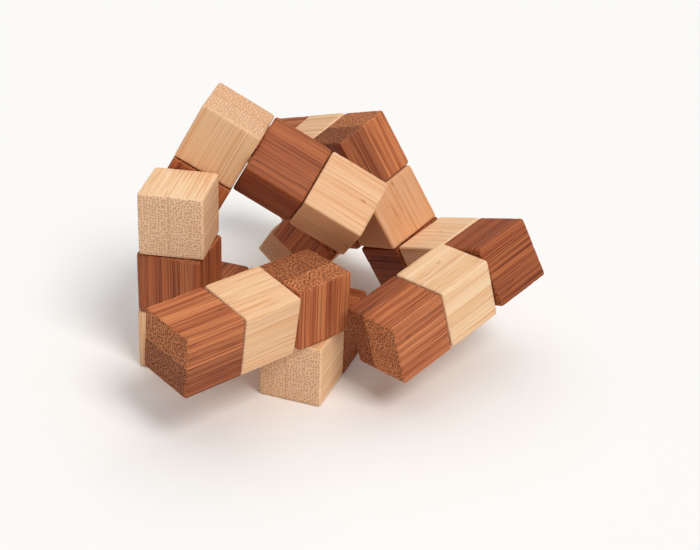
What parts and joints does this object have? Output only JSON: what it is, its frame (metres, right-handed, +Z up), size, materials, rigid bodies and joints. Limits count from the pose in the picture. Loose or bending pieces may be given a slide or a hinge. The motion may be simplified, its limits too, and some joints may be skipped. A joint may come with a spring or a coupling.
{
  "type": "twisty snake puzzle",
  "caption": "Wooden cubes in two alternating tones, strung on one elastic cord, each turning against the next; shown half folded and free-standing.",
  "frame": {"origin": "centre of the bottom face of cube_06, the middle cube of the foot, on the table", "axes": "+Z up, +X to the right and +Y away from a person who faces the puzzle's two tails"},
  "size_m": [0.0939, 0.1044, 0.0613],
  "materials": {
    "dark_bamboo": "satin, carbonised bamboo, waxed",
    "light_bamboo": "satin, natural bamboo, waxed",
    "elastic_cord": "braided elastic, matt"
  },
  "bodies": {
    "link_01": {"cube_01": "dark_bamboo", "cord_01": "elastic_cord", "knot_start": "elastic_cord"},
    "link_02": {"cube_02": "light_bamboo", "cord_02": "elastic_cord"},
    "link_03": {"cube_03": "dark_bamboo", "cord_03": "elastic_cord"},
    "link_04": {"cube_04": "light_bamboo", "cord_04": "elastic_cord"},
    "link_05": {"cube_05": "dark_bamboo", "cord_05": "elastic_cord"},
    "link_06": {"cube_06": "light_bamboo", "cord_06": "elastic_cord"},
    "link_07": {"cube_07": "dark_bamboo", "cord_07": "elastic_cord"},
    "link_08": {"cube_08": "light_bamboo", "cord_08": "elastic_cord"},
    "link_09": {"cube_09": "dark_bamboo", "cord_09": "elastic_cord"},
    "link_10": {"cube_10": "light_bamboo", "cord_10": "elastic_cord"},
    "link_11": {"cube_11": "dark_bamboo", "cord_11": "elastic_cord"},
    "link_12": {"cube_12": "light_bamboo", "cord_12": "elastic_cord"},
    "link_13": {"cube_13": "dark_bamboo", "cord_13": "elastic_cord"},
    "link_14": {"cube_14": "light_bamboo", "cord_14": "elastic_cord"},
    "link_15": {"cube_15": "dark_bamboo", "cord_15": "elastic_cord"},
    "link_16": {"cube_16": "light_bamboo", "cord_16": "elastic_cord"},
    "link_17": {"cube_17": "dark_bamboo", "cord_17": "elastic_cord"},
    "link_18": {"cube_18": "light_bamboo", "cord_18": "elastic_cord"},
    "link_19": {"cube_19": "dark_bamboo", "cord_19": "elastic_cord"},
    "link_20": {"cube_20": "light_bamboo", "cord_20": "elastic_cord"},
    "link_21": {"cube_21": "dark_bamboo", "cord_21": "elastic_cord"},
    "link_22": {"cube_22": "light_bamboo", "cord_22": "elastic_cord"},
    "link_23": {"cube_23": "dark_bamboo", "cord_23": "elastic_cord"},
    "link_24": {"cube_24": "light_bamboo", "cord_24": "elastic_cord"},
    "link_25": {"cube_25": "dark_bamboo", "cord_25": "elastic_cord"},
    "link_26": {"cube_26": "light_bamboo", "cord_26": "elastic_cord"},
    "link_27": {"cube_27": "dark_bamboo", "cord_27": "elastic_cord", "knot_end": "elastic_cord"}
  },
  "joints": [
    {"name": "twist_01_02", "type": "hinge", "parent": "link_02", "child": "link_01", "pos_m": [-0.00786, -0.03474, 0.0227], "axis": [-0.7431, -0.6691, 0], "continuous": true},
    {"name": "twist_02_03", "type": "hinge", "parent": "link_03", "child": "link_02", "pos_m": [0.00344, -0.02457, 0.0227], "axis": [-0.7431, -0.6691, 0], "range_deg": [-1, 10]},
    {"name": "twist_03_04", "type": "hinge", "parent": "link_04", "child": "link_03", "pos_m": [0.00908, -0.01948, 0.0151], "axis": [0, 0, 1], "range_deg": [-5, 29]},
    {"name": "twist_04_05", "type": "hinge", "parent": "link_05", "child": "link_04", "pos_m": [0.01168, -0.01234, 0.0075], "axis": [-0.342, -0.9397, 0], "range_deg": [-8, 1.5]},
    {"name": "twist_05_06", "type": "hinge", "parent": "link_06", "child": "link_05", "pos_m": [0.00714, -0.0026, 0.0075], "axis": [0.9397, -0.342, 0], "range_deg": [-16, 172]},
    {"name": "twist_06_07", "type": "hinge", "parent": "link_06", "child": "link_07", "pos_m": [-0.00714, 0.0026, 0.0075], "axis": [-0.9397, 0.342, 0], "range_deg": [-1, 172]},
    {"name": "twist_07_08", "type": "hinge", "parent": "link_07", "child": "link_08", "pos_m": [-0.01688, -0.00194, 0.0075], "axis": [-0.342, -0.9397, 0], "range_deg": [-3, 1]},
    {"name": "twist_08_09", "type": "hinge", "parent": "link_08", "child": "link_09", "pos_m": [-0.01948, -0.00908, 0.0151], "axis": [0, 0, 1], "range_deg": [-5, 26]},
    {"name": "twist_09_10", "type": "hinge", "parent": "link_09", "child": "link_10", "pos_m": [-0.01948, -0.00908, 0.0303], "axis": [0, 0, 1], "range_deg": [-7, 2]},
    {"name": "twist_10_11", "type": "hinge", "parent": "link_10", "child": "link_11", "pos_m": [-0.01829, -0.00158, 0.0379], "axis": [0.1564, 0.9877, 0], "range_deg": [-29, 5]},
    {"name": "twist_11_12", "type": "hinge", "parent": "link_11", "child": "link_12", "pos_m": [-0.01358, 0.00537, 0.04461], "axis": [0.4637, -0.0734, 0.8829], "range_deg": [-1.5, 5]},
    {"name": "twist_12_13", "type": "hinge", "parent": "link_12", "child": "link_13", "pos_m": [-0.00345, 0.00363, 0.04775], "axis": [0.8692, -0.1553, -0.4694], "range_deg": [-8, 9]},
    {"name": "twist_13_14", "type": "hinge", "parent": "link_13", "child": "link_14", "pos_m": [0.00976, 0.00127, 0.04062], "axis": [0.8692, -0.1553, -0.4694], "range_deg": [-0.5, 9]},
    {"name": "twist_14_15", "type": "hinge", "parent": "link_14", "child": "link_15", "pos_m": [0.01445, 0.00524, 0.0318], "axis": [-0.2523, 0.677, -0.6913], "range_deg": [-16, 2]},
    {"name": "twist_15_16", "type": "hinge", "parent": "link_15", "child": "link_16", "pos_m": [0.01061, 0.01553, 0.02129], "axis": [-0.2523, 0.677, -0.6913], "range_deg": [-9, 1.5]},
    {"name": "twist_16_17", "type": "hinge", "parent": "link_16", "child": "link_17", "pos_m": [0.01381, 0.02551, 0.0189], "axis": [0.673, 0.6362, 0.3774], "range_deg": [-8, 8]},
    {"name": "twist_17_18", "type": "hinge", "parent": "link_17", "child": "link_18", "pos_m": [0.01489, 0.0362, 0.0191], "axis": [-0.5316, 0.7707, -0.3513], "range_deg": [-1, 0.5]},
    {"name": "twist_18_19", "type": "hinge", "parent": "link_18", "child": "link_19", "pos_m": [0.00712, 0.0425, 0.02304], "axis": [-0.4905, 0.058, 0.8695], "range_deg": [-0.5, 1]},
    {"name": "twist_19_20", "type": "hinge", "parent": "link_19", "child": "link_20", "pos_m": [0.0077, 0.03734, 0.03245], "axis": [0.567, -0.7365, 0.3689], "range_deg": [-1, 0.5]},
    {"name": "twist_20_21", "type": "hinge", "parent": "link_20", "child": "link_21", "pos_m": [0.01632, 0.02615, 0.03806], "axis": [0.567, -0.7365, 0.3689], "range_deg": [-1.5, 2]},
    {"name": "twist_21_22", "type": "hinge", "parent": "link_21", "child": "link_22", "pos_m": [0.02427, 0.02002, 0.03421], "axis": [0.4789, -0.0697, -0.8751], "range_deg": [-1, 0.5]},
    {"name": "twist_22_23", "type": "hinge", "parent": "link_22", "child": "link_23", "pos_m": [0.03155, 0.01896, 0.02091], "axis": [0.4789, -0.0697, -0.8751], "range_deg": [-21, 4]},
    {"name": "twist_23_24", "type": "hinge", "parent": "link_23", "child": "link_24", "pos_m": [0.03949, 0.01283, 0.01706], "axis": [0.567, -0.7365, 0.3689], "range_deg": [-10, 8]},
    {"name": "twist_24_25", "type": "hinge", "parent": "link_24", "child": "link_25", "pos_m": [0.04811, 0.00164, 0.02267], "axis": [0.567, -0.7365, 0.3689], "range_deg": [-10, 2]},
    {"name": "twist_25_26", "type": "hinge", "parent": "link_25", "child": "link_26", "pos_m": [0.04703, -0.00901, 0.02369], "axis": [-0.7094, -0.6642, -0.2357], "continuous": true},
    {"name": "twist_26_27", "type": "hinge", "parent": "link_26", "child": "link_27", "pos_m": [0.03625, -0.0191, 0.0201], "axis": [-0.7094, -0.6642, -0.2357], "continuous": true}
  ]
}
